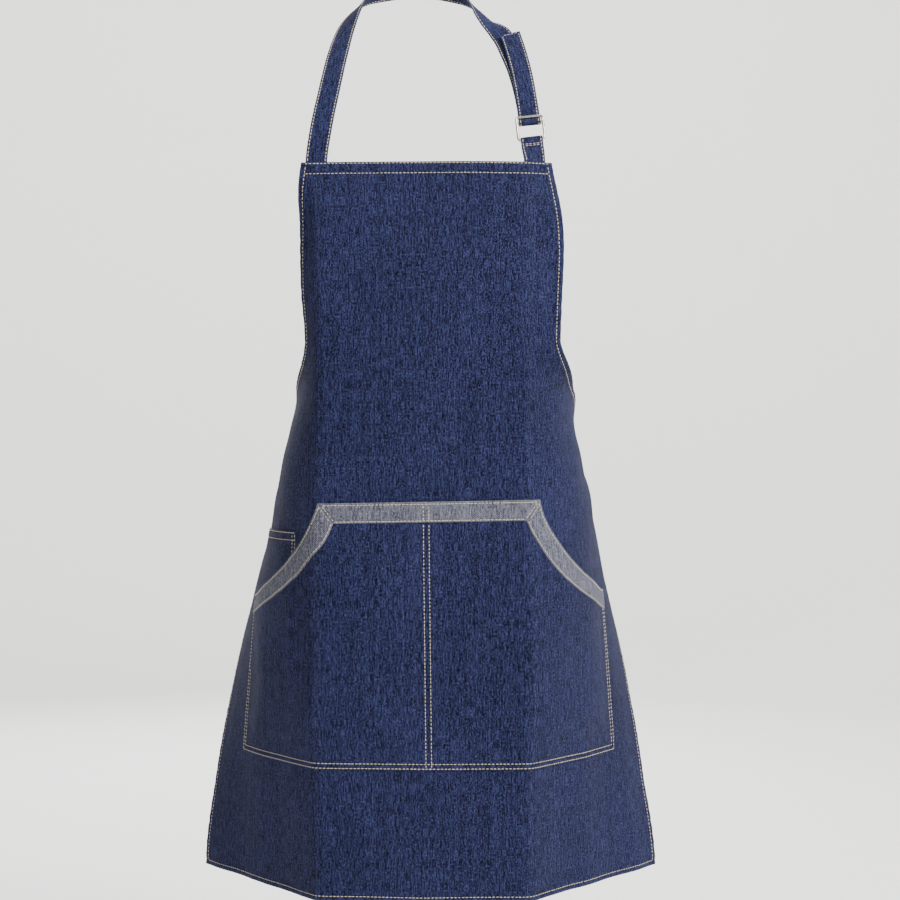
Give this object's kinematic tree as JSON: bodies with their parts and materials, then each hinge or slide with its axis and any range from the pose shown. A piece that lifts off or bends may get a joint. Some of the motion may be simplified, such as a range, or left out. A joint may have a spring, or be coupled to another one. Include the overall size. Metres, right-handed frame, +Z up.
{
  "type": "bib apron",
  "caption": "Denim bib apron in its worn shape, with a buckled neck strap, a kangaroo pocket with contrast bands, a side patch pocket and tied waist straps.",
  "frame": {"origin": "middle of the neck strap's inner face at the nape, where a neck holds the apron up", "axes": "+X to the wearer's left (the viewer's right), -Y to the front, +Z up"},
  "size_m": [0.5307, 0.2856, 1.044],
  "materials": {
    "denim_face": "indigo twill denim, matt",
    "denim_reverse": "reverse side of the denim, pale grey-blue twill",
    "thread": "cream topstitching thread",
    "buckle_metal": "polished nickel plate"
  },
  "bodies": {
    "apron": {"main_panel": "denim_face", "pocket_panel": "denim_face", "side_patch_pocket": "denim_face", "pocket_band_top": "denim_reverse", "pocket_band_left": "denim_reverse", "pocket_band_right": "denim_reverse", "neck_strap": "denim_face", "buckle_strap": "denim_face", "waist_tie_left": "denim_face", "waist_tie_right": "denim_face", "tie_knot": "denim_face", "bow_loop_left": "denim_face", "bow_loop_right": "denim_face", "tie_end_left": "denim_face", "tie_end_right": "denim_face"},
    "buckle": {"buckle_frame": "buckle_metal", "strap_fold": "denim_face"},
    "tail": {"strap_tail": "denim_face"}
  },
  "joints": [
    {"name": "buckle_tilt", "type": "hinge", "parent": "apron", "child": "buckle", "pos_m": [0.12863, -0.15683, -0.20492], "axis": [0.995, 0, 0.0995], "range_deg": [0, 25]},
    {"name": "tail_lift", "type": "hinge", "parent": "buckle", "child": "tail", "pos_m": [0.12597, -0.14565, -0.17829], "axis": [0.995, 0, 0.0995], "range_deg": [0, 70]}
  ]
}
